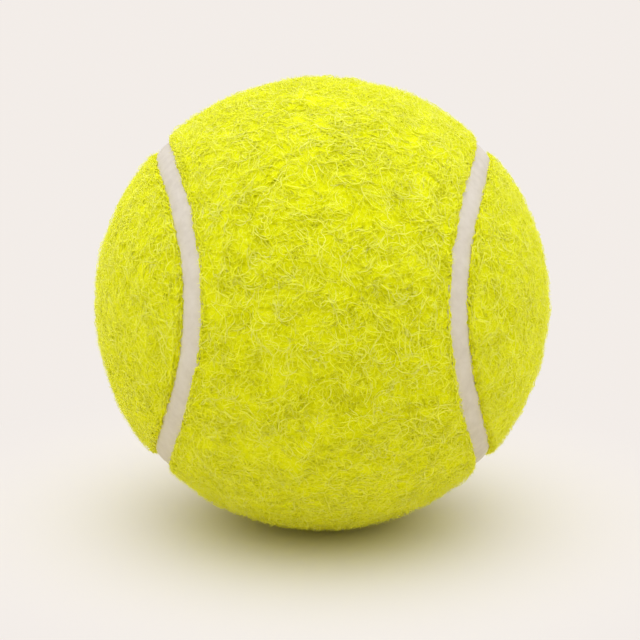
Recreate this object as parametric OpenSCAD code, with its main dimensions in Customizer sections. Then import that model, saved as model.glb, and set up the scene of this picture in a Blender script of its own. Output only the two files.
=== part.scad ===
// Tennis ball. A hollow core of two bonded rubber half shells carries two felt panels of one
// dumbbell shape. Each panel is a nap of curly fibres needled to a woven base cloth, and one white
// rubber strip fills the winding seam between the panels. The origin is the centre of the ball,
// +Z is up as the ball lies, and the waist of the front panel faces -Y. Sizes are in millimetres.

/* [Ball] */
// Outside diameter over the felt nap
ball_d = 67; // [65.4:0.1:73]
// Turn of the seam's pattern about X as the ball lies, which lifts the waist of the front panel
seam_tilt = 15; // [0:1:45]

/* [Felt cover] */
// Thickness of the felt nap
nap_t = 2.5; // [1.8:0.1:3.2]
// Thickness of the woven base cloth under the nap
cloth_t = 0.7; // [0.4:0.1:1]
// Rounding of the nap's edge along the seam
shoulder_r = 0.7; // [0.3:0.1:0.9]

/* [Seam] */
// Width of the gap between the panels, which the seam strip fills
seam_w = 2.8; // [2:0.1:4]
// Depth of the seam strip's face below the surface of the nap
seam_recess = 1; // [0.6:0.1:1.6]
// Angle at the ball's centre from the middle of a panel's waist to the seam beside it
waist_half_angle = 34; // [30:1:38]
// How far the seam swings out round the panels' broad ends, as a share
seam_swing_share = 0.255; // [0.2:0.005:0.3]

/* [Core] */
// Wall thickness of the rubber core
core_wall = 3.4; // [3:0.1:4.2]
// Thickness of the cement between the rims of the core's two halves
joint_t = 0.2; // [0.1:0.05:0.4]
// Radius of the bead of cement that the joint squeezes out on the inside
bead_r = 0.6; // [0.3:0.1:1]
// Thickness of the coat of cement between the core and the cover
coat_t = 0.2; // [0.1:0.05:0.4]

/* [Hidden] */
$fn = 128;

// Outer radius of each layer, from the nap inwards
nap_r = ball_d / 2;
cloth_r = nap_r - nap_t;
coat_r = cloth_r - cloth_t;
core_r = coat_r - coat_t;
hollow_r = core_r - core_wall;
// Radius to the face of the seam strip
strip_r = nap_r - seam_recess;

// Share by which the seam curve rises and falls along the axis through the panels' waists
seam_rise_share = (1 - seam_swing_share) / tan(waist_half_angle);
// Points along the seam, an even number because they lie in mirrored pairs
seam_points = 104;
// Facets that round the nap's edge, and the angle that they turn through
shoulder_facets = 2;
shoulder_turn = 60;
// How far the wedge that cuts out a panel stands above the nap before it runs straight out
overrun = 0.5;
// Reach of that wedge from the ball's centre, as a share of the nap's radius
wedge_reach_share = 2;

// Each point of a panel's edge profile is its radius and its distance from the seam's middle line
half_gap = seam_w / 2;
square_edge = [[wedge_reach_share * nap_r, half_gap]];
function shoulder_point(turn) =
    [nap_r - shoulder_r * (1 - sin(turn)), half_gap + shoulder_r * (1 - cos(turn))];
brow = shoulder_point(shoulder_turn) + [0, (shoulder_r * (1 - sin(shoulder_turn)) + overrun)
       * tan(shoulder_turn)];
round_edge = [
    for (k = [0 : shoulder_facets]) shoulder_point(shoulder_turn * k / shoulder_facets),
    [nap_r + overrun, brow[1]],
    [wedge_reach_share * nap_r, brow[1]]
];

function unit(v) = v / norm(v);

// Direction from the ball's centre to the seam's middle line, s degrees along the seam's loop
function seam_at(s) = unit([
    cos(s) - seam_swing_share * cos(3 * s),
    -seam_rise_share * cos(2 * s),
    sin(s) + seam_swing_share * sin(3 * s)
]);

// Direction across the seam at s, along the ball's surface and into the front panel
function across_seam(s) = unit(cross(seam_at(s), [
    -sin(s) + 3 * seam_swing_share * sin(3 * s),
    2 * seam_rise_share * sin(2 * s),
    cos(s) + 3 * seam_swing_share * cos(3 * s)
]));

// Point of the front panel's edge for one point of its edge profile
function edge_point(s, profile_point) =
    let (lean = profile_point[1] / strip_r * 180 / PI)
    profile_point[0] * (seam_at(s) * cos(lean) + across_seam(s) * sin(lean));

// Solid from the ball's centre out past the nap, over all that the front panel covers. Its rings
// of points follow the seam, the first joined to the centre and the last closed by a cap. A point
// and its mirror image in the plane X = 0 are joined across the cap.
module panel_wedge(profile) {
    n = seam_points;
    last = 1 + (len(profile) - 1) * n;
    rings = [
        for (p = profile) for (i = [0 : n - 1]) edge_point(360 * i / n - 90, p)
    ];
    foot = [for (i = [0 : n - 1]) [0, 1 + (i + 1) % n, 1 + i]];
    bands = [
        for (j = [1 : 1 : len(profile) - 1]) for (i = [0 : n - 1])
            let (a = 1 + (j - 1) * n + i, b = 1 + (j - 1) * n + (i + 1) % n)
            each [[a, b, b + n], [a, b + n, a + n]]
    ];
    cap = [
        for (i = [0 : n / 2 - 1]) let (a = last + i, b = last + (n - i) % n, c = last + n - i - 1)
            each (i == 0 ? [[a, a + 1, c]]
                : i == n / 2 - 1 ? [[a, a + 1, b]]
                : [[a, a + 1, c], [a, c, b]])
    ];
    polyhedron([[0, 0, 0], each rings], concat(foot, bands, cap));
}

// Closed band that follows the whole seam, as wide as the gap between the panels, from inside the
// cover to outside it. Its four rings of points stand at its four edges.
module seam_band() {
    n = seam_points;
    edges = [[core_r, half_gap], [nap_r + overrun, half_gap], [nap_r + overrun, -half_gap],
             [core_r, -half_gap]];
    rings = [for (p = edges) for (i = [0 : n - 1]) edge_point(360 * i / n - 90, p)];
    sides = [
        for (j = [0 : len(edges) - 1]) for (i = [0 : n - 1])
            let (a = j * n + i, b = j * n + (i + 1) % n,
                 c = (j + 1) % len(edges) * n + i, d = (j + 1) % len(edges) * n + (i + 1) % n)
            each [[a, b, d], [a, d, c]]
    ];
    polyhedron(rings, sides);
}

module front_place() {
    rotate([-seam_tilt, 0, 0]) children();
}

// The rear panel is the front one after half a turn about the line midway between their ends
module rear_place() {
    rotate([-seam_tilt, 0, 0]) rotate(180, [1, 0, 1]) children();
}

module hollow_ball(outer_r, inner_r) {
    difference() {
        sphere(outer_r);
        sphere(inner_r);
    }
}

module core_half() {
    color([0.40, 0.37, 0.34])
    intersection() {
        hollow_ball(core_r, hollow_r);
        translate([0, 0, joint_t / 2]) cylinder(r = nap_r, h = nap_r);
    }
}

module core_half_upper() {
    core_half();
}

module core_half_lower() {
    mirror([0, 0, 1]) core_half();
}

module core_joint_cement() {
    color([0.68, 0.62, 0.50])
    rotate_extrude()
    union() {
        intersection() {
            circle(core_r);
            translate([hollow_r - bead_r / 2, -joint_t / 2])
                square([core_wall + bead_r, joint_t]);
        }
        intersection() {
            circle(hollow_r);
            translate([hollow_r, 0]) circle(bead_r);
        }
    }
}

module cover_cement() {
    color([0.78, 0.72, 0.60])
    hollow_ball(coat_r, core_r);
}

module backing_cloth() {
    color([0.86, 0.86, 0.58])
    intersection() {
        hollow_ball(cloth_r, coat_r);
        panel_wedge(square_edge);
    }
}

module front_backing_cloth() {
    front_place() backing_cloth();
}

module rear_backing_cloth() {
    rear_place() backing_cloth();
}

module felt_nap() {
    color([0.80, 0.82, 0.16])
    intersection() {
        hollow_ball(nap_r, cloth_r);
        panel_wedge(round_edge);
    }
}

module front_felt_nap() {
    front_place() felt_nap();
}

module rear_felt_nap() {
    rear_place() felt_nap();
}

module seam_strip() {
    color([0.88, 0.85, 0.79])
    intersection() {
        hollow_ball(strip_r, coat_r);
        front_place() seam_band();
    }
}

core_half_upper();
core_half_lower();
core_joint_cement();
cover_cement();
front_backing_cloth();
rear_backing_cloth();
front_felt_nap();
rear_felt_nap();
seam_strip();
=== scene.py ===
"""Looks of a tennis ball: curly felt in two panels, a white rubber seam, and a pale studio.

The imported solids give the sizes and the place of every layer. The felt naps and the seam strip are
modelled again here as fine meshes, and the layers inside keep their solids under new finishes.
Lengths are in metres, the ball's centre is the origin and the ball lies with +Z up.
"""

from __future__ import annotations

import logging
import math
from dataclasses import dataclass
from enum import Enum

import bpy
import numpy as np
from mathutils import Matrix

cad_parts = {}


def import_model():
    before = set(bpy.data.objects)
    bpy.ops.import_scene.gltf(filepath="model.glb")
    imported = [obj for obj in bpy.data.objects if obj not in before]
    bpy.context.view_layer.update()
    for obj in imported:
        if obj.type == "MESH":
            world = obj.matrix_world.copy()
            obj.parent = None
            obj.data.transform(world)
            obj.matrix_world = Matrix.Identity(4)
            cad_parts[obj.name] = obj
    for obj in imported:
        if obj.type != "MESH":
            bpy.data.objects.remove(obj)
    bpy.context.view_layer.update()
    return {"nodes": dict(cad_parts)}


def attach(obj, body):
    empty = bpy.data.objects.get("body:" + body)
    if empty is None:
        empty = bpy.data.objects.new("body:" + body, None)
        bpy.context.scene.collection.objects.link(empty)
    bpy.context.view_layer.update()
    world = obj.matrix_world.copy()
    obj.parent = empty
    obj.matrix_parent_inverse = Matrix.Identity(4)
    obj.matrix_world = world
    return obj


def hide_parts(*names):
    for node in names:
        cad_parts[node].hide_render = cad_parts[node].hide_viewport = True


LOG = logging.getLogger("tennis_ball")
MM = 0.001
FULL_TURN = 2.0 * math.pi
MIRROR_X = np.array([-1.0, 1.0, 1.0])  # turns a point into its mirror image in the plane X = 0
TINY = 1e-9  # keeps a vector that cancels out from having no length
BODY = "root"
SHOULDER = 1.2 * MM  # radius of the nap's rounded edge, for the mats and their fibres
DIFFUSE_BOUNCES = 12  # enough for light to fill the gaps between pale fibres
Colour = tuple[float, float, float]


class Panel(Enum):
    """The two felt panels, with the sign of the distance from the seam on their side."""

    FRONT = ("front", 1.0)
    REAR = ("rear", -1.0)

    @property
    def title(self) -> str:
        """The panel's name, as the solids have it."""
        return self.value[0]

    @property
    def side(self) -> float:
        """+1 where the distance from the seam is positive on this panel, else -1."""
        return self.value[1]


def unit(vectors: np.ndarray) -> np.ndarray:
    """Scales each vector of the last axis to length 1."""
    return vectors / np.linalg.norm(vectors, axis=-1, keepdims=True)


def in_mm(*values: float) -> tuple[float, ...]:
    """Lengths in metres, from millimetres."""
    return tuple(value * MM for value in values)


@dataclass(frozen=True)
class LayerRadii:
    """Radii of the ball's layers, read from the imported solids."""

    nap: float
    nap_foot: float
    strip: float
    strip_foot: float

    @classmethod
    def of_frame(cls, nodes: dict[str, bpy.types.Object]) -> LayerRadii:
        """Measures the radii as the distances of the solids' points from the ball's centre.

        Args:
            nodes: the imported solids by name.

        Returns:
            The radii of the nap's face and foot, and of the seam strip's face and foot.
        """
        foot, nap = cls._span(nodes["front_felt_nap"])
        strip_foot, strip = cls._span(nodes["seam_strip"])
        return cls(nap, foot, strip, strip_foot)

    @staticmethod
    def _span(node: bpy.types.Object) -> tuple[float, float]:
        """Measures how far a solid's points lie from the ball's centre.

        Args:
            node: the solid.

        Returns:
            The least and the greatest distance.
        """
        points = np.empty(len(node.data.vertices) * 3, np.float32)
        node.data.vertices.foreach_get("co", points)
        reach = np.linalg.norm(points.reshape(-1, 3).astype(float), axis=1)
        return float(reach.min()), float(reach.max())


@dataclass(frozen=True)
class SeamPath:
    """The closed line along the middle of the seam, as directions from the ball's centre.

    With q for the swing and c for the rise, the line is x = cos s - q cos 3s, y = -c cos 2s,
    z = sin s + q sin 3s, brought to unit length and turned about X by the tilt of the ball. The
    two angles, the swing and the gap are those of the solids.
    """

    radius: float
    waist_half_angle: float = math.radians(34.0)
    swing_share: float = 0.255
    tilt: float = math.radians(15.0)
    half_gap: float = 1.4 * MM
    samples: int = 480
    points_at_once: int = 20_000
    steps_per_point: int = 20

    @property
    def rise_share(self) -> float:
        """How far the line rises along the axis through the panels' waists, as a share."""
        return (1.0 - self.swing_share) / math.tan(self.waist_half_angle)

    def turn(self, vectors: np.ndarray, back: bool = False) -> np.ndarray:
        """Turns vectors about X from the seam's own frame into the ball's, or back.

        Args:
            vectors: an array whose last axis holds X, Y and Z.
            back: turns from the ball's frame into the seam's.

        Returns:
            The turned vectors.
        """
        angle = self.tilt if back else -self.tilt
        c, s = math.cos(angle), math.sin(angle)
        x, y, z = np.moveaxis(vectors, -1, 0)
        return np.stack([x, c * y - s * z, s * y + c * z], axis=-1)

    def own_direction(self, s: np.ndarray) -> np.ndarray:
        """Directions to the line in the seam's own frame, by the class's formula.

        Args:
            s: parameters along the line, in radians.

        Returns:
            Unit vectors.
        """
        q, c = self.swing_share, self.rise_share
        return unit(np.stack(
            [np.cos(s) - q * np.cos(3 * s), -c * np.cos(2 * s), np.sin(s) + q * np.sin(3 * s)], -1
        ))

    def own_across(self, s: np.ndarray) -> np.ndarray:
        """Directions across the seam towards the front panel: the line crossed with its slope.

        Args:
            s: parameters along the line, in radians.

        Returns:
            Unit vectors in the seam's own frame.
        """
        q, c = self.swing_share, self.rise_share
        slope = np.stack([
            -np.sin(s) + 3 * q * np.sin(3 * s),
            2 * c * np.sin(2 * s),
            np.cos(s) + 3 * q * np.cos(3 * s),
        ], -1)
        return unit(np.cross(self.own_direction(s), slope))

    def beside(self, s: np.ndarray, inset: np.ndarray) -> np.ndarray:
        """Directions, in the seam's own frame, to points beside the line.

        Args:
            s: parameters along the line, in radians.
            inset: distances from the line into the front panel, as arcs at the seam's radius.

        Returns:
            Unit vectors: the line's direction leaned towards its crosswise direction.
        """
        lean = np.asarray(inset)[..., None] / self.radius
        return self.own_direction(s) * np.cos(lean) + self.own_across(s) * np.sin(lean)

    def evenly(self, first: float, last: float, count: int) -> np.ndarray:
        """Parameters spaced evenly by length along a stretch of the line.

        Args:
            first: parameter where the stretch starts.
            last: parameter where it ends.
            count: how many parameters, both ends included.

        Returns:
            The parameters, from the inverse of the line's summed length.
        """
        fine = np.linspace(first, last, self.steps_per_point * count)
        steps = np.linalg.norm(np.diff(self.own_direction(fine), axis=0), axis=1)
        length = np.concatenate([[0.0], np.cumsum(steps)])
        return np.interp(np.linspace(0.0, length[-1], count), length, fine)

    def distance(self, points: np.ndarray) -> tuple[np.ndarray, np.ndarray]:
        """Distance of each point from the line, along the ball's surface.

        The line is its own mirror image in X and in Z, so points are folded into one quarter and
        set against the samples there. The distance is the arc sine of the point's share along
        the crosswise direction at its nearest sample.

        Args:
            points: an (n, 3) array in the ball's frame.

        Returns:
            Distances, positive on the front panel, and the crosswise directions there.
        """
        own = self.turn(unit(points), back=True)
        fold = np.where(own < 0, -1.0, 1.0) * [1, 0, 1] + [0, 1, 0]
        folded = own * fold
        s = np.linspace(0.0, math.pi / 2, self.samples)
        line, across = self.own_direction(s), self.own_across(s)
        parts = np.array_split(folded, len(folded) // self.points_at_once + 1)
        nearest = np.concatenate([np.argmax(part @ line.T, axis=1) for part in parts])
        sideways = np.einsum("ij,ij->i", folded, across[nearest])
        return self.radius * np.arcsin(np.clip(sideways, -1, 1)), self.turn(across[nearest] * fold)


class LatticeNoise:
    """A smooth random field: values on a cubic lattice, eased between its points."""

    LAYER_SHIFT = 17.3  # in spacings, so that the layers of a sum don't share their ups and downs

    def __init__(self, seed: int, cells: int = 48) -> None:
        """Draws the lattice's values, between -1 and 1, from the seed."""
        self.cells = cells
        self.values = np.random.default_rng(seed).uniform(-1.0, 1.0, (cells,) * 3)

    def at(self, points: np.ndarray, spacing: float) -> np.ndarray:
        """Value at each point.

        Args:
            points: an array whose last axis holds X, Y and Z.
            spacing: distance between the lattice's points.

        Returns:
            The eight values round each point, weighted by eased distances.
        """
        place = points / spacing
        base = np.floor(place).astype(np.int64)
        part = place - base
        part = part * part * (3.0 - 2.0 * part)
        total = np.zeros(points.shape[:-1])
        for corner in np.ndindex(2, 2, 2):
            step = np.array(corner)
            weight = np.prod(np.where(step, part, 1.0 - part), axis=-1)
            i, j, k = np.moveaxis((base + step) % self.cells, -1, 0)
            total += weight * self.values[i, j, k]
        return total

    def layered(self, points: np.ndarray, spacing: float, layers: int) -> np.ndarray:
        """Sum of fields, each with half the spacing and half the height of the one before.

        Args:
            points: an array whose last axis holds X, Y and Z.
            spacing: distance between the lattice's points in the first field.
            layers: number of fields.

        Returns:
            The sum at each point.
        """
        return sum(
            self.at(points + k * self.LAYER_SHIFT * spacing, spacing / 2**k) / 2**k
            for k in range(layers)
        )


@dataclass(frozen=True)
class Swell:
    """The soft rise and fall of the nap's thickness, the same for the mats and their fibres."""

    radius: float
    noise: LatticeNoise
    height: float = 0.20 * MM
    spacing: float = 4.0 * MM
    layers: int = 2

    def at(self, directions: np.ndarray) -> np.ndarray:
        """How far the nap stands above its mean in each direction, from layers of noise."""
        return self.noise.layered(directions * self.radius, self.spacing, self.layers) * self.height


def make_mesh(name: str, points: np.ndarray, *faces: np.ndarray) -> bpy.types.Object:
    """Puts points and faces into a smooth-shaded mesh object at the origin.

    Args:
        name: the object's name.
        points: an (n, 3) array in metres.
        faces: arrays of point numbers, one row a face, each array with its own count of corners.

    Returns:
        The object, linked to the scene.
    """
    mesh = bpy.data.meshes.new(name)
    mesh.vertices.add(len(points))
    mesh.vertices.foreach_set("co", np.asarray(points, np.float32).ravel())
    corners = np.concatenate([f.ravel() for f in faces]).astype(np.int32)
    counts = np.concatenate([np.full(len(f), f.shape[1], np.int32) for f in faces])
    starts = np.concatenate([[0], np.cumsum(counts)[:-1]]).astype(np.int32)
    mesh.loops.add(len(corners))
    mesh.loops.foreach_set("vertex_index", corners)
    mesh.polygons.add(len(counts))
    mesh.polygons.foreach_set("loop_start", starts)
    mesh.update(calc_edges=True)
    mesh.validate()
    mesh.shade_smooth()
    item = bpy.data.objects.new(name, mesh)
    bpy.context.scene.collection.objects.link(item)
    return item


def ring_faces(rows: int, ring: int) -> np.ndarray:
    """Four-cornered faces between neighbouring rings of a closed loop of rings.

    Args:
        rows: number of rings; the last joins the first.
        ring: number of points in a ring; its last point joins its first.

    Returns:
        An (rows * ring, 4) array of point numbers.
    """
    i, j = np.meshgrid(np.arange(rows), np.arange(ring), indexing="ij")
    i2, j2 = (i + 1) % rows, (j + 1) % ring
    return np.stack([i * ring + j, i2 * ring + j, i2 * ring + j2, i * ring + j2], -1).reshape(-1, 4)


# Shader helpers

# Scale of each layer of strands, as a share of the group's, and its shift in metres
STRAND_LAYERS = ((1.0, 0.013), (0.7, 0.127), (1.35, 0.311))
# Scale of a grain's coarse noise, as a share of its fine one's
COARSE_GRAIN_SHARE = 0.25


class Nodes:
    """Adds nodes to one node tree and links them."""

    def __init__(self, tree: bpy.types.NodeTree) -> None:
        """Keeps the tree that the nodes go into."""
        self.tree = tree

    def add(self, kind: str, inputs: dict | None = None, **settings: object) -> bpy.types.Node:
        """Adds a node.

        Args:
            kind: the node's type name.
            inputs: values or output sockets for its inputs, by name or number.
            settings: values for the node's own properties.

        Returns:
            The new node.
        """
        node = self.tree.nodes.new(kind)
        for key, value in settings.items():
            setattr(node, key, value)
        for key, value in (inputs or {}).items():
            if isinstance(value, bpy.types.NodeSocket):
                self.tree.links.new(value, node.inputs[key])
            else:
                node.inputs[key].default_value = value
        return node

    def math(self, operation: str, *values: object, clamp: bool = False) -> bpy.types.NodeSocket:
        """Adds a Math node.

        Args:
            operation: the node's operation.
            values: numbers or sockets, in the order of its inputs.
            clamp: keeps the result between 0 and 1.

        Returns:
            Its output.
        """
        node = self.add(
            "ShaderNodeMath", dict(enumerate(values)), operation=operation, use_clamp=clamp)
        return node.outputs[0]

    def vector(self, operation: str, inputs: dict) -> bpy.types.NodeSocket:
        """Adds a Vector Math node and returns its vector."""
        return self.add("ShaderNodeVectorMath", inputs, operation=operation).outputs["Vector"]

    def noise(self, place: bpy.types.NodeSocket, scale: object, **others: float) -> bpy.types.Node:
        """Adds a noise on a place, with inputs such as Detail by name."""
        return self.add("ShaderNodeTexNoise", {"Vector": place, "Scale": scale, **others})

    def blend(self, share: object, first: object, second: object) -> bpy.types.NodeSocket:
        """Adds a mix of two colours and returns its colour."""
        return self.add(
            "ShaderNodeMix", {0: share, 6: first, 7: second}, data_type="RGBA").outputs[2]

    def object_place(self) -> bpy.types.NodeSocket:
        """Adds the coordinates of the piece's own object."""
        return self.add("ShaderNodeTexCoord").outputs["Object"]


def group_tree(
    name: str, inputs: dict[str, tuple[str, object]], outputs: dict[str, str]
) -> tuple[bpy.types.NodeTree, Nodes, bpy.types.Node, bpy.types.Node]:
    """Starts a shader node group with named sockets.

    Args:
        name: the group's name.
        inputs: each input's socket type and default by name.
        outputs: each output's socket type by name.

    Returns:
        The tree, a Nodes helper for it, its input node and its output node.
    """
    tree = bpy.data.node_groups.new(name, "ShaderNodeTree")
    for label, (kind, default) in inputs.items():
        socket = tree.interface.new_socket(label, in_out="INPUT", socket_type=kind)
        socket.default_value = default
    for label, kind in outputs.items():
        tree.interface.new_socket(label, in_out="OUTPUT", socket_type=kind)
    nodes = Nodes(tree)
    return tree, nodes, nodes.add("NodeGroupInput"), nodes.add("NodeGroupOutput")


def new_material(name: str) -> tuple[bpy.types.Material, Nodes]:
    """Makes a material with an empty node tree.

    Args:
        name: the material's name.

    Returns:
        The material, and a Nodes helper for its tree.
    """
    material = bpy.data.materials.new(name)
    material.use_nodes = True
    material.node_tree.nodes.clear()
    return material, Nodes(material.node_tree)


def patch_group() -> bpy.types.NodeTree:
    """Group that mottles a colour in soft patches of two sizes, as worked wool and rubber have.

    The tone that counts is Tone plus Amount times the sum of a coarse and a fine noise on Object
    coordinates, each less a half. The colour goes from Deep through Mid to Pale as it rises from
    0 to 1.

    Returns:
        The group, which puts out Color.
    """
    colour, number = "NodeSocketColor", "NodeSocketFloat"
    tree, nodes, given, out = group_tree(
        "Patches",
        {
            "Deep": (colour, (0.5, 0.5, 0.5, 1)), "Mid": (colour, (0.6, 0.6, 0.6, 1)),
            "Pale": (colour, (0.8, 0.8, 0.8, 1)), "Tone": (number, 0.5),
            "Coarse Scale": (number, 150.0), "Fine Scale": (number, 900.0), "Amount": (number, 0.4),
        },
        {"Color": colour},
    )
    place = nodes.object_place()
    coarse = nodes.noise(place, given.outputs["Coarse Scale"], Detail=3.0, Roughness=0.55)
    fine = nodes.noise(place, given.outputs["Fine Scale"], Detail=4.0, Roughness=0.6)
    both = nodes.math("ADD", coarse.outputs["Fac"], fine.outputs["Fac"])
    centred = nodes.math("SUBTRACT", both, 1.0)
    swing = nodes.math("MULTIPLY", centred, given.outputs["Amount"])
    tone = nodes.math("ADD", swing, given.outputs["Tone"], clamp=True)
    low = nodes.add("ShaderNodeMapRange", {"Value": tone, "From Min": 0.0, "From Max": 0.5})
    high = nodes.add("ShaderNodeMapRange", {"Value": tone, "From Min": 0.5, "From Max": 1.0})
    first = nodes.blend(low.outputs["Result"], given.outputs["Deep"], given.outputs["Mid"])
    second = nodes.blend(high.outputs["Result"], first, given.outputs["Pale"])
    tree.links.new(second, out.inputs["Color"])
    return tree


def strand_group() -> bpy.types.NodeTree:
    """Group that draws a tangle of fine strands.

    Each of three noises n on warped Object coordinates is turned into a ridge, 1 - Sharpness times
    |n - 0.5|, that is high only along the noise's winding middle line. The highest ridge counts.

    Returns:
        The group, which puts out Mask: 1 along the strands and 0 between them.
    """
    number = "NodeSocketFloat"
    tree, nodes, given, out = group_tree(
        "Strands", {"Scale": (number, 900.0), "Sharpness": (number, 5.0), "Warp": (number, 0.0004)},
        {"Mask": number},
    )
    place = nodes.object_place()
    bend = nodes.noise(place, given.outputs["Scale"], Detail=1.0)
    centred = nodes.vector("SUBTRACT", {0: bend.outputs["Color"], 1: (0.5,) * 3})
    push = nodes.vector("SCALE", {0: centred, "Scale": given.outputs["Warp"]})
    warped = nodes.vector("ADD", {0: place, 1: push})
    highest = None
    for share, shift in STRAND_LAYERS:
        moved = nodes.vector("ADD", {0: warped, 1: (shift, -shift, shift / 2)})
        scale = nodes.math("MULTIPLY", given.outputs["Scale"], share)
        noise = nodes.noise(moved, scale, Detail=0.0)
        away = nodes.math("ABSOLUTE", nodes.math("SUBTRACT", noise.outputs["Fac"], 0.5))
        steep = nodes.math("MULTIPLY", away, given.outputs["Sharpness"])
        ridge = nodes.math("SUBTRACT", 1.0, steep, clamp=True)
        highest = ridge if highest is None else nodes.math("MAXIMUM", highest, ridge)
    tree.links.new(highest, out.inputs["Mask"])
    return tree


def grain_group() -> bpy.types.NodeTree:
    """Group that gives the height of a fine grain.

    It is a fine and a coarse noise on Object coordinates, mixed by Coarseness.

    Returns:
        The group, which puts out Height.
    """
    number = "NodeSocketFloat"
    tree, nodes, given, out = group_tree(
        "Grain", {"Scale": (number, 2000.0), "Coarseness": (number, 0.5)}, {"Height": number}
    )
    place = nodes.object_place()
    wide = nodes.math("MULTIPLY", given.outputs["Scale"], COARSE_GRAIN_SHARE)
    fine = nodes.noise(place, given.outputs["Scale"], Detail=5.0)
    coarse = nodes.noise(place, wide, Detail=2.0)
    mixed = nodes.add("ShaderNodeMix", {
        0: given.outputs["Coarseness"], 2: fine.outputs["Fac"], 3: coarse.outputs["Fac"]})
    tree.links.new(mixed.outputs[0], out.inputs["Height"])
    return tree


@dataclass(frozen=True)
class Finish:
    """A matt finish: patches of three tones, a fine grain, strands, sheen and light let through.

    The tone comes from the mesh where tone_attribute names a number stored there. Strands are drawn
    where strand_scale isn't 0: they are paler than the ground between them, and raised. The share
    of light that enters the surface is through. It goes as deep as through_depth times
    through_radius, which has a number each for red, green and blue. A scale is the number of a
    pattern's cells to the metre.
    """

    name: str
    deep: Colour
    mid: Colour
    pale: Colour
    tone_attribute: str = ""
    patch_amount: float = 0.4
    coarse_scale: float = 150.0
    fine_scale: float = 900.0
    roughness: float = 0.9
    specular: float = 0.2
    sheen: float = 0.0
    sheen_tint: Colour = (1.0, 1.0, 1.0)
    through: float = 0.0
    through_depth: float = 0.12 * MM
    through_radius: Colour = (1.0, 1.0, 0.4)
    grain_scale: float = 2000.0
    grain_coarseness: float = 0.5
    grain_depth: float = 0.0
    strand_scale: float = 0.0
    strand_sharpness: float = 7.0
    strand_ground: float = 0.4
    strand_tone: float = 0.3
    strand_depth: float = 0.06 * MM

    def build(self, groups: dict[str, bpy.types.NodeTree]) -> bpy.types.Material:
        """Makes the material.

        Args:
            groups: the shared node groups by name.

        Returns:
            A material whose shader takes its colour from Patches, and its bump from Grain and
            Strands.
        """
        material, nodes = new_material(self.name)
        patches = nodes.add("ShaderNodeGroup", {
            "Deep": (*self.deep, 1.0), "Mid": (*self.mid, 1.0), "Pale": (*self.pale, 1.0),
            "Amount": self.patch_amount, "Coarse Scale": self.coarse_scale,
            "Fine Scale": self.fine_scale}, node_tree=groups["Patches"])
        if self.tone_attribute:
            tone = nodes.add("ShaderNodeAttribute", attribute_name=self.tone_attribute)
            nodes.tree.links.new(tone.outputs["Fac"], patches.inputs["Tone"])
        strands = None
        if self.strand_scale:
            strands = nodes.add("ShaderNodeGroup", {
                "Scale": self.strand_scale, "Sharpness": self.strand_sharpness},
                node_tree=groups["Strands"])
            paler = nodes.math(
                "MULTIPLY_ADD", strands.outputs["Mask"], self.strand_tone, self.strand_ground)
            nodes.tree.links.new(paler, patches.inputs["Tone"])
        shader = nodes.add("ShaderNodeBsdfPrincipled", {
            "Base Color": patches.outputs["Color"], "Roughness": self.roughness,
            "Specular IOR Level": self.specular, "Sheen Weight": self.sheen,
            "Sheen Tint": (*self.sheen_tint, 1.0), "Subsurface Weight": self.through,
            "Subsurface Scale": self.through_depth, "Subsurface Radius": self.through_radius})
        if self.grain_depth:
            grain = nodes.add("ShaderNodeGroup", {
                "Scale": self.grain_scale, "Coarseness": self.grain_coarseness},
                node_tree=groups["Grain"])
            bump = nodes.add("ShaderNodeBump", {
                "Height": grain.outputs["Height"], "Distance": self.grain_depth, "Strength": 1.0})
            if strands is not None:
                bump = nodes.add("ShaderNodeBump", {
                    "Height": strands.outputs["Mask"], "Distance": self.strand_depth,
                    "Strength": 1.0, "Normal": bump.outputs["Normal"]})
            nodes.tree.links.new(bump.outputs["Normal"], shader.inputs["Normal"])
        nodes.add("ShaderNodeOutputMaterial", {"Surface": shader.outputs["BSDF"]})
        return material


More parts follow.
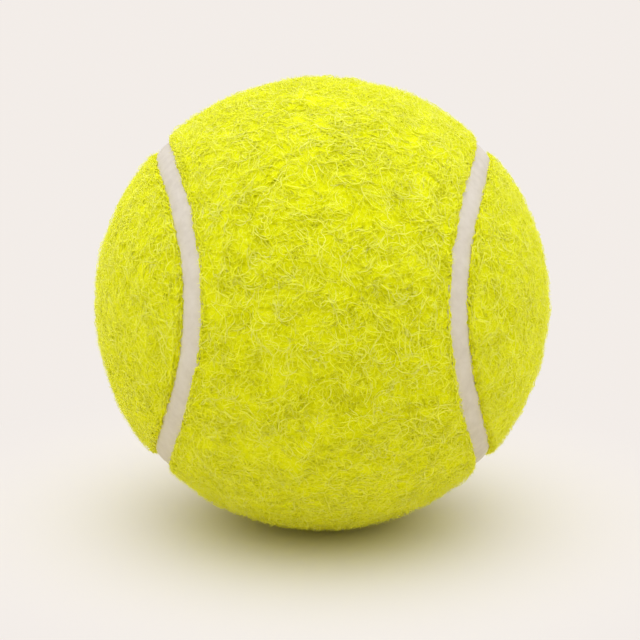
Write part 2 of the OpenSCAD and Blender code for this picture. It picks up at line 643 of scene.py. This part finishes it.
class Finishes(Enum):
    """The finishes of the ball's own pieces."""

    # The underfelt's deep tone is darker than the curls', and the ground between its strands is
    # darker than the strands: painted shade for the pits between the fibres, over the felt's own
    # mottled yellow.
    UNDERFELT = Finish(
        "underfelt", (0.47, 0.47, 0.0005), (0.79, 0.80, 0.002), (0.91, 0.92, 0.008),
        patch_amount=0.8, coarse_scale=330.0, fine_scale=1500.0, roughness=1.0, specular=0.02,
        sheen=0.04, sheen_tint=(1.0, 1.0, 0.6), grain_scale=5000.0, grain_depth=0.04 * MM,
        strand_scale=1100.0, strand_depth=0.03 * MM, through=0.6, through_depth=0.25 * MM)
    CURLS = Finish(
        "felt_curls", (0.72, 0.72, 0.0005), (0.935, 0.94, 0.006), (0.985, 0.985, 0.17),
        tone_attribute="tone", patch_amount=0.6, coarse_scale=330.0, fine_scale=1500.0,
        roughness=0.6, specular=0.03, sheen=0.8, sheen_tint=(1.0, 1.0, 0.15),
        through=1.0, through_depth=0.2 * MM)
    FUZZ = Finish(
        "felt_fuzz", (0.95, 0.955, 0.008), (0.975, 0.98, 0.075), (0.985, 0.985, 0.26),
        tone_attribute="tone", patch_amount=0.3, coarse_scale=300.0, fine_scale=1200.0,
        roughness=0.9, specular=0.03, sheen=0.04, sheen_tint=(1.0, 1.0, 0.8), through=0.7)
    SEAM_RUBBER = Finish(
        "seam_rubber", (0.585, 0.515, 0.40), (0.71, 0.64, 0.515), (0.80, 0.735, 0.62),
        patch_amount=0.9, coarse_scale=120.0, fine_scale=700.0, roughness=0.55, specular=0.35,
        grain_scale=3000.0, grain_coarseness=0.6, grain_depth=0.03 * MM)
    CORE_RUBBER = Finish(
        "core_rubber", (0.10, 0.09, 0.08), (0.14, 0.12, 0.10), (0.18, 0.16, 0.13),
        roughness=0.8, specular=0.3, grain_scale=1500.0, grain_depth=0.03 * MM)
    JOINT_CEMENT = Finish(
        "joint_cement", (0.34, 0.28, 0.16), (0.42, 0.35, 0.22), (0.50, 0.43, 0.29),
        roughness=0.6, specular=0.4, grain_scale=900.0, grain_depth=0.05 * MM)
    COVER_CEMENT = Finish(
        "cover_cement", (0.48, 0.39, 0.26), (0.56, 0.47, 0.32), (0.64, 0.55, 0.40),
        roughness=0.65, specular=0.35, grain_scale=700.0, grain_depth=0.05 * MM)
    BACKING_CLOTH = Finish(
        "backing_cloth", (0.58, 0.56, 0.22), (0.68, 0.66, 0.30), (0.78, 0.76, 0.42),
        roughness=0.95, specular=0.15, grain_scale=2600.0, grain_coarseness=0.2,
        grain_depth=0.08 * MM)


# The ball's own pieces


@dataclass
class SeamStrip:
    """The white rubber strip in the seam: a closed band, faintly crowned and a little uneven."""

    path: SeamPath
    radii: LayerRadii
    noise: LatticeNoise
    rings: int = 900
    face_points: int = 20
    tuck: float = 0.5 * MM
    proud: float = 0.28 * MM
    crown: float = 0.26 * MM
    waviness: float = 0.05 * MM
    wave_spacing: float = 2.4 * MM
    wave_layers: int = 3

    def build(self) -> bpy.types.Object:
        """Makes the strip's mesh.

        The face runs from edge to edge across the seam on arcs of radius strip + proud +
        crown (1 - w^2) plus noise, with w from -1 to 1. Two more points close each section at its
        foot.

        Returns:
            The strip as an object.
        """
        s = self.path.evenly(0.0, FULL_TURN, self.rings + 1)[:-1]
        w = np.linspace(-1.0, 1.0, self.face_points)
        reach = w * (self.path.half_gap + self.tuck)
        inset = np.broadcast_to(reach, (self.rings, self.face_points))
        across = self.path.turn(self.path.beside(s[:, None], inset))
        spots = across * self.radii.strip
        rough = self.noise.layered(spots, self.wave_spacing, self.wave_layers) * self.waviness
        stand = self.radii.strip + self.proud + self.crown * (1.0 - w**2) + rough
        face = across * stand[..., None]
        foot = across[:, [-1, 0]] * self.radii.strip_foot
        points = np.concatenate([face, foot], axis=1)
        faces = ring_faces(self.rings, self.face_points + 2)
        return make_mesh("seam_rubber_strip", points.reshape(-1, 3), faces[:, ::-1])


@dataclass
class FeltMat:
    """The dense body of one panel's nap: a closed dumbbell shell with a lumpy face."""

    panel: Panel
    path: SeamPath
    radii: LayerRadii
    noise: LatticeNoise
    swell: Swell
    rows: int = 280
    columns: int = 106
    foot_columns: int = 12
    shoulder: float = SHOULDER
    shoulder_points: int = 7
    sink: float = 0.32 * MM
    lumps: float = 0.12 * MM
    lump_spacing: float = 0.9 * MM
    lump_shift: float = 20.0 * MM
    ragged: float = 0.12 * MM
    ragged_spacing: float = 1.1 * MM
    noise_layers: int = 3
    edge_calm: float = 0.6
    overhang: float = 0.12 * MM

    def build(self) -> bpy.types.Object:
        """Makes the mat's mesh.

        Rows of points cross the panel on great circles between mirrored points of its two edges,
        spaced evenly along the edge. A coarser sheet of the same rows closes the shell below, and
        a fan of faces closes it at each of the two ends.

        Returns:
            The mat as an object.
        """
        rim, drop = self._rim()
        below = self._between(rim[:, 0], rim[:, 0] * MIRROR_X, self.foot_columns + 2)
        below = self._place(below) * self.radii.nap_foot
        rows = np.concatenate([self._face(rim, drop), below[:, ::-1]], axis=1)
        ends = np.array([-math.pi / 2, math.pi / 2])
        tips = self._place(self.path.beside(ends, np.full(2, self.path.half_gap)))
        tips = tips * (self.radii.nap_foot + self.radii.nap) / 2
        count, ring = rows.shape[:2]
        last = (count - 1) * ring
        j = np.arange(ring)
        k = (j + 1) % ring
        fans = np.concatenate([
            np.stack([np.full(ring, count * ring), j, k], -1),
            np.stack([np.full(ring, count * ring + 1), last + k, last + j], -1),
        ])
        points = np.concatenate([rows.reshape(-1, 3), tips])
        return make_mesh(
            f"{self.panel.title}_felt_mat", points, ring_faces(count, ring)[:last], fans)

    def _rim(self) -> tuple[np.ndarray, np.ndarray]:
        """Rounds the face over at an edge, on a quarter circle inside the nap's own by the sink.

        With b for its radius and a for the angle along it, a point lies shoulder - b cos a in
        from the edge and b (1 - sin a) below the face.

        Returns:
            Own-frame directions from the edge inwards, one row for each place along it, and how
            far each point lies below the face.
        """
        s = self.path.evenly(-math.pi / 2, math.pi / 2, self.rows)[1:-1]
        turn = np.linspace(0.0, math.pi / 2, self.shoulder_points)
        spots = self.path.own_direction(s) * self.radii.nap
        uneven = self.noise.layered(spots, self.ragged_spacing, self.noise_layers) * self.ragged
        bend = self.shoulder - self.sink
        edge = self.path.half_gap - self.overhang + uneven[:, None]
        inset = edge + self.shoulder - bend * np.cos(turn)
        drop = np.broadcast_to(bend * (1.0 - np.sin(turn)), inset.shape)
        return self.path.beside(s[:, None], inset), drop

    def _face(self, rim: np.ndarray, drop: np.ndarray) -> np.ndarray:
        """Points of the lumpy face, on rows from one edge over the panel to the other.

        Args:
            rim: own-frame directions from the edge inwards, one row for each place along it.
            drop: how far each of them lies below the face.

        Returns:
            The points, at the nap's radius less sink and drop, plus swell and lumps, which are
            calmer towards the edge. None lies below the floor.
        """
        side = rim[:, -1]
        inner = self._between(side, side * MIRROR_X, self.columns)[:, 1:-1]
        directions = self._place(np.concatenate([rim, inner, rim[:, ::-1] * MIRROR_X], axis=1))
        sunk = np.concatenate([drop, np.zeros(inner.shape[:2]), drop[:, ::-1]], axis=1)
        spots = directions * self.radii.nap + self.lump_shift
        lumps = self.noise.layered(spots, self.lump_spacing, self.noise_layers) * self.lumps
        calm = 1.0 - self.edge_calm * sunk / self.shoulder
        reach = self.radii.nap - self.sink - sunk + (self.swell.at(directions) + lumps) * calm
        face = directions * reach[..., None]
        face[..., 2] = np.maximum(face[..., 2], -self.radii.nap)
        return face

    @staticmethod
    def _between(start: np.ndarray, end: np.ndarray, count: int) -> np.ndarray:
        """Directions spaced evenly on the great circle from each start to each end.

        Args:
            start: unit vectors.
            end: as many unit vectors.
            count: how many directions for each pair, both ends included.

        Returns:
            For a share h of the angle A between them, (start sin (1 - h) A + end sin h A) / sin A.
        """
        angle = np.arccos(np.clip(np.sum(start * end, -1), -1, 1))[:, None, None]
        share = np.linspace(0.0, 1.0, count)[None, :, None]
        first, last = np.sin((1 - share) * angle), np.sin(share * angle)
        return (start[:, None] * first + end[:, None] * last) / np.sin(angle)

    def _place(self, own: np.ndarray) -> np.ndarray:
        """Puts own-frame directions on this panel: the rear one is half a turn about (1, 0, 1).

        Args:
            own: directions on the front panel, in the seam's own frame.

        Returns:
            Directions on this panel, in the ball's frame.
        """
        if self.panel is Panel.REAR:
            own = np.stack([own[..., 2], -own[..., 1], own[..., 0]], axis=-1)
        return self.path.turn(own)


@dataclass
class FibreCoat:
    """Loose curly fibres of one kind: closed three-sided tubes, each tapered to its two ends.

    A fibre's ends lie at lift above the nap's face, its middle is higher by arch, and with an
    end_rise its far end stands up. The two numbers of curl are the spread of its steady bend and of
    its wave, in radians per metre. Fibres lie in bundles of a few, and edge_pull turns those near
    the seam along it.
    """

    name: str
    path: SeamPath
    radii: LayerRadii
    swell: Swell
    seed: int
    count: int
    length: tuple[float, float]
    thickness: tuple[float, float]
    lift: tuple[float, float]
    arch: tuple[float, float]
    curl: tuple[float, float]
    tone: tuple[float, float]
    finish: Finishes = Finishes.CURLS
    points_along: int = 8
    edge_band: tuple[float, float] | None = None
    bundle: int = 3
    spread: float = 0.28 * MM
    edge_pull: float = 0.0
    end_rise: tuple[float, float] = (0.0, 0.0)
    end_dive: float = 0.12 * MM
    overhang: float = 0.17 * MM
    margin: float = 0.08 * MM
    shoulder: float = SHOULDER
    sides: int = 3
    turned: float = -0.25
    weave: float = 0.15 * MM
    weave_beat: float = 2.0
    dive_power: int = 4
    edge_places: int = 4000
    pull_reach: float = 1.2 * MM
    pull_weight: float = 1.6
    pull_calm: float = 0.7
    heading_jitter: float = 0.2
    bend_jitter: float = 0.25
    beat: tuple[float, float] = (0.6, 1.7)
    beat_jitter: float = 0.05
    least_rise: float = 0.05
    end_share: float = 0.55
    taper: float = 1.8

    def build(self, panel: Panel) -> bpy.types.Object:
        """Makes the tubes of one panel as one mesh.

        Fibres are drawn until enough of them lie wholly on the panel. Where one would go through
        the floor, it lies on it.

        Args:
            panel: the panel that they lie on.

        Returns:
            The fibres as one object, with a tone for each in the mesh's attribute tone.
        """
        rng = np.random.default_rng([self.seed, 0 if panel is Panel.FRONT else 1])
        kept: list[np.ndarray] = []
        found = 0
        while found < self.count:
            directions, height = self._lines(rng, self.count // self.bundle + 1, panel)
            clear, slope = self._edge(directions, panel)
            inside = clear.min(axis=1) > self.margin
            lines, outward = self._over_edge(
                *(part[inside] for part in (directions, height, clear, slope)))
            lines[..., 2] = np.maximum(lines[..., 2], self.thickness[1] / 2 - self.radii.nap)
            kept.append(np.stack([lines, outward]))
            found += len(lines)
        lines, outward = np.concatenate(kept, axis=1)[:, : self.count]
        return self._tubes(lines, outward, rng, f"{panel.title}_{self.name}")

    def _roots(self, rng: np.random.Generator, bundles: int, panel: Panel) -> np.ndarray:
        """Places of the bundles: strewn over the ball, or in a band along the panel's edge.

        In the band a place's distance from the edge goes with the square of a random share, so
        they crowd there.

        Args:
            rng: the source of the random values.
            bundles: how many bundles.
            panel: the panel whose edge the band follows.

        Returns:
            Directions to them from the ball's centre.
        """
        if self.edge_band is None:
            return unit(rng.normal(size=(bundles, 3)))
        s = rng.choice(self.path.evenly(0.0, FULL_TURN, self.edge_places), bundles)
        near, far = self.edge_band
        inset = self.path.half_gap - self.overhang + near + (far - near) * rng.random(bundles) ** 2
        return self.path.turn(self.path.beside(s, panel.side * inset))

    def _shared(
        self, rng: np.random.Generator, values: np.ndarray, jitter: float
    ) -> np.ndarray:
        """Gives each fibre of a bundle the bundle's values, with normal jitter."""
        each = np.repeat(values, self.bundle, axis=0)
        return each + rng.normal(0.0, 1.0, each.shape) * jitter

    def _headings(
        self, rng: np.random.Generator, root: np.ndarray
    ) -> tuple[np.ndarray, np.ndarray]:
        """Which way each fibre runs at its middle.

        It is a random way, mixed with the way along the seam by the pull, which is edge_pull times
        exp(-d / pull_reach) at a distance d from the seam's edge.

        Args:
            rng: the source of the random values.
            root: directions to the fibres' middles.

        Returns:
            The headings, at right angles to the roots, and the pull on each.
        """
        bundles = len(root) // self.bundle
        distance, across = self.path.distance(root)
        along = unit(np.cross(across, root))
        gap = np.maximum(np.abs(distance) - self.path.half_gap, 0.0)
        pull = np.exp(-gap / self.pull_reach)[:, None] * self.edge_pull
        sign = np.repeat(np.where(rng.random((bundles, 1)) < 0.5, -1.0, 1.0), self.bundle, axis=0)
        loose = self._shared(rng, rng.normal(size=(bundles, 3)), self.heading_jitter)
        loose = unit(np.cross(root, unit(loose)))
        heading = unit(loose * (1.0 - pull) + self.pull_weight * sign * along * pull)
        return unit(heading - root * np.sum(heading * root, -1, keepdims=True)), pull

    def _lines(
        self, rng: np.random.Generator, bundles: int, panel: Panel
    ) -> tuple[np.ndarray, np.ndarray]:
        """Middle lines of fibres in small bundles.

        Each line is walked in the plane that touches the ball at its root: its heading turns by a
        steady bend and a sine wave. Its height is an arch between its ends, plus a faint ripple
        and the rise of a standing end, less a dive at both ends of a lying fibre.

        Args:
            rng: the source of the random values.
            bundles: how many bundles.
            panel: the panel that the fibres are for.

        Returns:
            Directions from the ball's centre along each line, and heights above the nap's face.
        """
        n, count = self.points_along, bundles * self.bundle
        root = self._shared(rng, self._roots(rng, bundles, panel), self.spread / self.radii.nap)
        root = unit(root)
        heading, pull = self._headings(rng, root)
        sideways = np.cross(root, heading)
        step = rng.uniform(*self.length, (count, 1)) / (n - 1)
        t = np.linspace(0.0, 1.0, n)[None]
        bend, wave = (
            self._shared(rng, rng.normal(0.0, 1.0, (bundles, 1)), self.bend_jitter) * curl
            for curl in self.curl
        )
        beat = self._shared(rng, rng.uniform(*self.beat, (bundles, 1)), self.beat_jitter)
        phase = self._shared(rng, rng.uniform(0.0, FULL_TURN, (bundles, 1)), self.bend_jitter)
        turning = (bend + wave * np.sin(FULL_TURN * beat * t + phase)) * step
        angle = np.cumsum(turning * (1.0 - self.pull_calm * pull), axis=1)
        angle -= angle[:, n // 2 : n // 2 + 1]
        u, v = (np.cumsum(part * step, axis=1) for part in (np.cos(angle), np.sin(angle)))
        u -= u.mean(1, keepdims=True)
        v -= v.mean(1, keepdims=True)
        flat = (root[:, None] * self.radii.nap
                + u[..., None] * heading[:, None] + v[..., None] * sideways[:, None])
        lift, arch, rise = (
            rng.uniform(*span, (count, 1)) for span in (self.lift, self.arch, self.end_rise))
        ripple = rng.uniform(-1.0, 1.0, (count, 1)) * self.weave
        ripple = ripple * np.sin(FULL_TURN * self.weave_beat * t + phase)
        dive = self.end_dive * np.abs(2.0 * t - 1.0) ** self.dive_power * (rise == 0.0)
        return unit(flat), lift + arch * np.sin(math.pi * t) + rise * t**2 + ripple - dive

    def _edge(self, directions: np.ndarray, panel: Panel) -> tuple[np.ndarray, np.ndarray]:
        """Where the points lie from the panel's edge.

        Args:
            directions: unit vectors to the points, in rows.
            panel: the panel.

        Returns:
            The clearance of each point from the edge, and its direction towards the seam.
        """
        distance, across = self.path.distance(directions.reshape(-1, 3))
        edge = self.path.half_gap - self.overhang
        clear = (distance * panel.side).reshape(directions.shape[:2]) - edge
        return clear, (-panel.side * across).reshape(directions.shape)

    def _over_edge(
        self, directions: np.ndarray, height: np.ndarray, clear: np.ndarray, seaward: np.ndarray
    ) -> tuple[np.ndarray, np.ndarray]:
        """Lays lines over the nap's face, which rounds over on a quarter circle at its edge.

        The face's normal leans towards the seam by the arc sine of 1 - clearance / shoulder.

        Args:
            directions: unit vectors to the points.
            height: heights of the points above the face, along its normal.
            clear: clearances from the panel's edge.
            seaward: directions towards the seam.

        Returns:
            The points, and the face's normal at each.
        """
        lean = 1.0 - np.clip(clear / self.shoulder, 0.0, 1.0)[..., None]
        rise = np.sqrt(1.0 - lean**2)
        normal = unit(directions * np.maximum(rise, self.least_rise) + seaward * lean)
        swell = self.swell.at(directions)[..., None] * rise
        reach = self.radii.nap - self.shoulder * (1.0 - rise) + swell
        return directions * reach + normal * height[..., None], normal

    def _tubes(
        self, lines: np.ndarray, outward: np.ndarray, rng: np.random.Generator, name: str
    ) -> bpy.types.Object:
        """Wraps each line in a closed tube: a ring round each point, and one point at each end.

        The points of a ring lie at radius times (cos a beside + sin a outward) from the line, and
        the radius tapers towards the two ends.

        Args:
            lines: the points of the middle lines.
            outward: the way out from the nap's face at each of them.
            rng: the source of the thicknesses and tones.
            name: the object's name.

        Returns:
            All the tubes as one object.
        """
        count, n = lines.shape[:2]
        slope = unit(np.gradient(lines, axis=1))
        outward = unit(outward - slope * np.sum(outward * slope, -1, keepdims=True) + TINY)
        beside = np.cross(slope, outward)
        t = np.linspace(0.0, 1.0, n)
        taper = np.minimum(1.0, self.end_share + self.taper * np.minimum(t, 1.0 - t))
        radius = rng.uniform(*self.thickness, (count, 1)) / 2 * taper
        around = FULL_TURN * (np.arange(self.sides) / self.sides + self.turned)
        spokes = (np.cos(around)[:, None] * beside[:, 1:-1, None]
                  + np.sin(around)[:, None] * outward[:, 1:-1, None])
        rings = lines[:, 1:-1, None] + radius[:, 1:-1, None, None] * spokes
        points = np.concatenate([lines[:, :1], rings.reshape(count, -1, 3), lines[:, -1:]], axis=1)
        block = points.shape[1]
        faces = self._tube_faces(n)[None] + (np.arange(count) * block)[:, None, None]
        item = make_mesh(name, points.reshape(-1, 3), faces.reshape(-1, 3))
        self._crease(item.data, block)
        tone = rng.uniform(*self.tone, count).astype(np.float32)
        attribute = item.data.attributes.new("tone", "FLOAT", "POINT")
        attribute.data.foreach_set("value", np.repeat(tone, block))
        return item

    def _crease(self, mesh: bpy.types.Mesh, block: int) -> None:
        """Marks the edges along the tubes sharp, so that each side is shaded by its own slope.

        A point's ring is its number in its tube over the number of sides, rounded up. An edge
        that joins two rings runs along the tube.

        Args:
            mesh: the mesh of all the tubes.
            block: number of points in one tube.
        """
        ends = np.empty(2 * len(mesh.edges), np.int32)
        mesh.edges.foreach_get("vertices", ends)
        ring = (ends.reshape(-1, 2) % block + self.sides - 1) // self.sides
        sharp = mesh.attributes.new("sharp_edge", "BOOLEAN", "EDGE")
        sharp.data.foreach_set("value", ring[:, 0] != ring[:, 1])

    def _tube_faces(self, n: int) -> np.ndarray:
        """Three-cornered faces of one tube, from the first end's point to the last's.

        Args:
            n: number of points along the tube's middle line.

        Returns:
            One row of three point numbers for each face.
        """
        k = self.sides
        j = np.arange(k)
        j2 = (j + 1) % k
        first = np.stack([np.zeros(k, int), 1 + j2, 1 + j], -1)
        bands = [
            np.concatenate([
                np.stack([a + j, a + j2, a + k + j2], -1),
                np.stack([a + j, a + k + j2, a + k + j], -1)])
            for a in (1 + k * np.arange(n - 3))
        ]
        end = 1 + k * (n - 3)
        tip = 1 + k * (n - 2)
        last = np.stack([np.full(k, tip), end + j, end + j2], -1)
        return np.concatenate([first, *bands, last])


@dataclass
class Ball:
    """The whole ball: dresses the solids inside and builds the felt and the seam strip."""

    nodes: dict[str, bpy.types.Object]
    radii: LayerRadii
    path: SeamPath
    swell: Swell
    materials: dict[Finishes, bpy.types.Material]

    def dress_core(self) -> None:
        """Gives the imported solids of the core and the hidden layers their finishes."""
        looks = {
            "core_half_upper": Finishes.CORE_RUBBER, "core_half_lower": Finishes.CORE_RUBBER,
            "core_joint_cement": Finishes.JOINT_CEMENT, "cover_cement": Finishes.COVER_CEMENT,
            "front_backing_cloth": Finishes.BACKING_CLOTH,
            "rear_backing_cloth": Finishes.BACKING_CLOTH,
        }
        for name, look in looks.items():
            mesh = self.nodes[name].data
            mesh.materials.clear()
            mesh.materials.append(self.materials[look])
            LOG.info("%s: %s", name, look.value.name)

    def build_seam(self) -> None:
        """Builds the seam strip in place of its solid."""
        strip = SeamStrip(self.path, self.radii, LatticeNoise(seed=11)).build()
        self._finish(strip, Finishes.SEAM_RUBBER, "seam_strip")

    def build_felt(self) -> None:
        """Builds each panel's mat and fibres in place of its nap."""
        noise = LatticeNoise(seed=21)
        coats = self._coats()
        for panel in Panel:
            nap = f"{panel.title}_felt_nap"
            mat = FeltMat(panel, self.path, self.radii, noise, self.swell).build()
            self._finish(mat, Finishes.UNDERFELT, nap)
            for coat in coats:
                self._finish(coat.build(panel), coat.finish, nap)

    def _coats(self) -> list[FibreCoat]:
        """Sets out the kinds of fibre: curls in layers, those of the edge, fuzz and stray loops.

        Returns:
            One coat of each kind, from the deepest to the strays.
        """
        shared = {"path": self.path, "radii": self.radii, "swell": self.swell}
        fuzz = {
            **shared, "lift": in_mm(-0.2, -0.05), "arch": (0.0, 0.0), "curl": (300.0, 500.0),
            "weave": 0.0, "points_along": 3, "bundle": 1, "finish": Finishes.FUZZ,
        }
        return [
            # Each fibre's tone is drawn at random within its coat's range. The ranges are lower for
            # the coats that lie deeper: under curls are darkest, then middle and upper curls, the
            # edge curls on the rounded edge sit low, and low fuzz is darker than high fuzz. This is
            # painted shade that deepens into the nap.
            FibreCoat("felt_under_curls", **shared, seed=31, count=3400, length=in_mm(3.0, 6.0),
                      thickness=in_mm(0.16, 0.25), lift=in_mm(-0.40, -0.26), arch=in_mm(0.0, 0.06),
                      curl=(380.0, 700.0), tone=(0.1, 0.4), points_along=7, edge_pull=0.5),
            FibreCoat("felt_middle_curls", **shared, seed=32, count=4300, length=in_mm(3.0, 6.5),
                      thickness=in_mm(0.12, 0.20), lift=in_mm(-0.34, -0.18), arch=in_mm(0.0, 0.10),
                      curl=(420.0, 900.0), tone=(0.25, 0.6), points_along=7, edge_pull=0.7),
            FibreCoat("felt_upper_curls", **shared, seed=33, count=4900, length=in_mm(2.0, 5.0),
                      thickness=in_mm(0.10, 0.17), lift=in_mm(-0.32, -0.12), arch=in_mm(0.0, 0.16),
                      curl=(450.0, 1000.0), tone=(0.45, 0.95), edge_pull=0.8),
            FibreCoat("felt_edge_curls", **shared, seed=36, count=2600, length=in_mm(1.2, 3.4),
                      thickness=in_mm(0.11, 0.19), lift=in_mm(-0.34, -0.06), arch=in_mm(0.0, 0.2),
                      curl=(300.0, 800.0), tone=(0.1, 0.7), edge_pull=0.6,
                      edge_band=in_mm(0.0, 1.2), margin=-0.03 * MM, bundle=2, spread=0.12 * MM),
            FibreCoat("felt_low_fuzz", **fuzz, seed=34, count=30000, length=in_mm(0.4, 1.0),
                      thickness=in_mm(0.045, 0.065), tone=(0.05, 0.6), end_rise=in_mm(0.2, 0.55)),
            FibreCoat("felt_high_fuzz", **fuzz, seed=37, count=16000, length=in_mm(0.4, 1.1),
                      thickness=in_mm(0.04, 0.065), tone=(0.2, 0.9), end_rise=in_mm(0.4, 0.85)),
            FibreCoat("felt_stray_loops", **shared, seed=35, count=1900, length=in_mm(2.0, 5.0),
                      thickness=in_mm(0.07, 0.12), lift=in_mm(-0.22, -0.05),
                      arch=in_mm(0.05, 0.55), curl=(450.0, 1000.0), tone=(0.1, 0.75),
                      weave=0.1 * MM, bundle=1, finish=Finishes.FUZZ),
        ]

    def _finish(self, item: bpy.types.Object, look: Finishes, node: str) -> None:
        """Dresses a new piece, sets it on the ball's body and hides the solid that it stands for.

        Args:
            item: the piece.
            look: its finish.
            node: the solid that it stands for.
        """
        item.data.materials.append(self.materials[look])
        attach(item, BODY)
        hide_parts(node)
        LOG.info("%s: %d faces", item.name, len(item.data.polygons))


@dataclass
class Studio:
    """A plain pale floor, soft light from above and the photograph's camera."""

    radii: LayerRadii
    image_width: float = 640.0
    image_height: float = 640.0
    ball_centre_px: tuple[float, float] = (321.94, 303.41)
    ball_radius_px: float = 227.4
    outline_reach: float = 0.25 * MM
    camera_distance_share: float = 11.0
    elevation: float = math.radians(15.0)
    azimuth: float = math.radians(-1.05)
    roll: float = math.radians(0.42)
    sensor_mm: float = 36.0
    clip: tuple[float, float] = (0.01, 20.0)
    background: Colour = (0.896, 0.847, 0.811)
    floor_colour: Colour = (0.803, 0.746, 0.622)
    floor_half: float = 4.0
    floor_roughness: float = 0.9
    fade_start: float = 9.0 * MM
    fade_end: float = 70.0 * MM
    even_light: float = 0.30
    overhead_light: float = 2.08
    overhead_power: float = 2.0
    level_colour: Colour = (1.0, 0.98, 0.74)
    overhead_colour: Colour = (0.95, 0.985, 1.22)

    def build(self) -> None:
        """Makes the floor, the light round the ball and the camera."""
        self._floor()
        self._world()
        self._camera()

    def _floor(self) -> None:
        """A level sheet that the ball's nap rests on.

        What the camera and reflections see of it fades into the background's colour by the distance
        from the point below the ball. It stays a plain matt sheet for the light on the ball.
        """
        half, z = self.floor_half, -self.radii.nap
        corners = np.array([[-half, -half, z], [half, -half, z], [half, half, z], [-half, half, z]])
        floor = make_mesh("studio_floor", corners, np.array([[0, 1, 2, 3]]))
        material, nodes = new_material("studio_floor")
        matt = nodes.add("ShaderNodeBsdfPrincipled", {
            "Base Color": (*self.floor_colour, 1.0), "Roughness": self.floor_roughness,
            "Specular IOR Level": 0.0})
        pale = nodes.add("ShaderNodeEmission", {"Color": (*self.background, 1.0), "Strength": 1.0})
        # Painted light on the floor: from fade_start to fade_end, the ball's shadow is covered more
        # and more by the background's colour, for the camera and in reflections.
        level = nodes.vector("MULTIPLY", {0: nodes.object_place(), 1: (1.0, 1.0, 0.0)})
        away = nodes.add("ShaderNodeVectorMath", {0: level}, operation="LENGTH")
        fade = nodes.add("ShaderNodeMapRange", {
            "Value": away.outputs["Value"], "From Min": self.fade_start, "From Max": self.fade_end},
            interpolation_type="SMOOTHSTEP")
        share = nodes.math("MULTIPLY", fade.outputs["Result"], self._seen_directly(nodes))
        mix = nodes.add("ShaderNodeMixShader", {
            0: share, 1: matt.outputs["BSDF"], 2: pale.outputs["Emission"]})
        nodes.add("ShaderNodeOutputMaterial", {"Surface": mix.outputs[0]})
        floor.data.materials.append(material)

    @staticmethod
    def _seen_directly(nodes: Nodes) -> bpy.types.NodeSocket:
        """Adds the test for rays that see a surface itself, not its light on other things.

        Args:
            nodes: the helper of the tree that the test goes into.

        Returns:
            A value that is 1 for rays from the camera and in reflections and clear pieces, else 0.
        """
        path = nodes.add("ShaderNodeLightPath").outputs
        mirrored = nodes.math("MAXIMUM", path["Is Glossy Ray"], path["Is Transmission Ray"])
        return nodes.math("MAXIMUM", path["Is Camera Ray"], mirrored)

    def _world(self) -> None:
        """Soft light from above, seen directly and in reflections as the background's colour.

        Its strength is an even part, and an overhead part times a power of the direction's upward
        share. It is a little cooler the higher it comes from.
        """
        world = bpy.data.worlds.new("studio")
        bpy.context.scene.world = world
        world.use_nodes = True
        world.node_tree.nodes.clear()
        nodes = Nodes(world.node_tree)
        generated = nodes.add("ShaderNodeTexCoord").outputs["Generated"]
        direction = nodes.add("ShaderNodeSeparateXYZ", {0: generated})
        upward = nodes.math("MAXIMUM", direction.outputs["Z"], 0.0)
        raised = nodes.math("POWER", upward, self.overhead_power)
        strength = nodes.math("MULTIPLY_ADD", raised, self.overhead_light, self.even_light)
        tint = nodes.blend(upward, (*self.level_colour, 1.0), (*self.overhead_colour, 1.0))
        light = nodes.add("ShaderNodeBackground", {"Color": tint, "Strength": strength})
        seen = nodes.add("ShaderNodeBackground", {
            "Color": (*self.background, 1.0), "Strength": 1.0})
        mix = nodes.add("ShaderNodeMixShader", {
            0: self._seen_directly(nodes), 1: light.outputs[0], 2: seen.outputs[0]})
        nodes.add("ShaderNodeOutputWorld", {"Surface": mix.outputs[0]})

    def _camera(self) -> None:
        """The photograph's camera, which sees the ball's centre and outline where they are there.

        Seen from the camera, the outline is a cone about the line to the ball's centre, and the
        sine of its half angle is the ball's reach over the distance. The outline's radius in pixels
        over the tangent of that angle is the focal length. The view then turns by the centre's
        offset from the middle of the frame, and rolls.
        """
        reach = self.radii.nap + self.outline_reach
        distance = self.camera_distance_share * self.radii.nap
        focal_px = self.ball_radius_px / math.tan(math.asin(reach / distance))
        e, a = self.elevation, self.azimuth
        back = np.array([math.sin(a) * math.cos(e), -math.cos(a) * math.cos(e), math.sin(e)])
        right = np.array([math.cos(a), math.sin(a), 0.0])
        up = np.cross(back, right)
        place = back * distance
        x_px = self.ball_centre_px[0] - self.image_width / 2
        y_px = self.image_height / 2 - self.ball_centre_px[1]
        view = unit(-back - right * x_px / focal_px - up * y_px / focal_px)
        right = unit(np.cross(view, up))
        up = np.cross(right, view)
        c, s = math.cos(self.roll), math.sin(self.roll)
        right, up = right * c + up * s, up * c - right * s
        data = bpy.data.cameras.new("photograph_camera")
        data.sensor_width = self.sensor_mm
        data.lens = focal_px / self.image_width * self.sensor_mm
        data.clip_start, data.clip_end = self.clip
        camera = bpy.data.objects.new("photograph_camera", data)
        matrix = np.eye(4)
        matrix[:3] = np.stack([right, up, -view, place], axis=1)
        camera.matrix_world = Matrix(matrix)
        bpy.context.scene.collection.objects.link(camera)
        bpy.context.scene.camera = camera


def main() -> None:
    """Loads the frame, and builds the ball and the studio."""
    logging.basicConfig(level=logging.INFO, format="%(name)s: %(message)s")
    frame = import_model()
    scene = bpy.context.scene
    scene.view_settings.view_transform = "Standard"
    scene.cycles.diffuse_bounces = DIFFUSE_BOUNCES
    radii = LayerRadii.of_frame(frame["nodes"])
    path = SeamPath(radii.strip)
    groups = {"Patches": patch_group(), "Grain": grain_group(), "Strands": strand_group()}
    materials = {look: look.value.build(groups) for look in Finishes}
    swell = Swell(radii.nap, LatticeNoise(seed=22))
    ball = Ball(frame["nodes"], radii, path, swell, materials)
    ball.dress_core()
    ball.build_seam()
    ball.build_felt()
    Studio(radii).build()


if __name__ == "__main__":
    main()
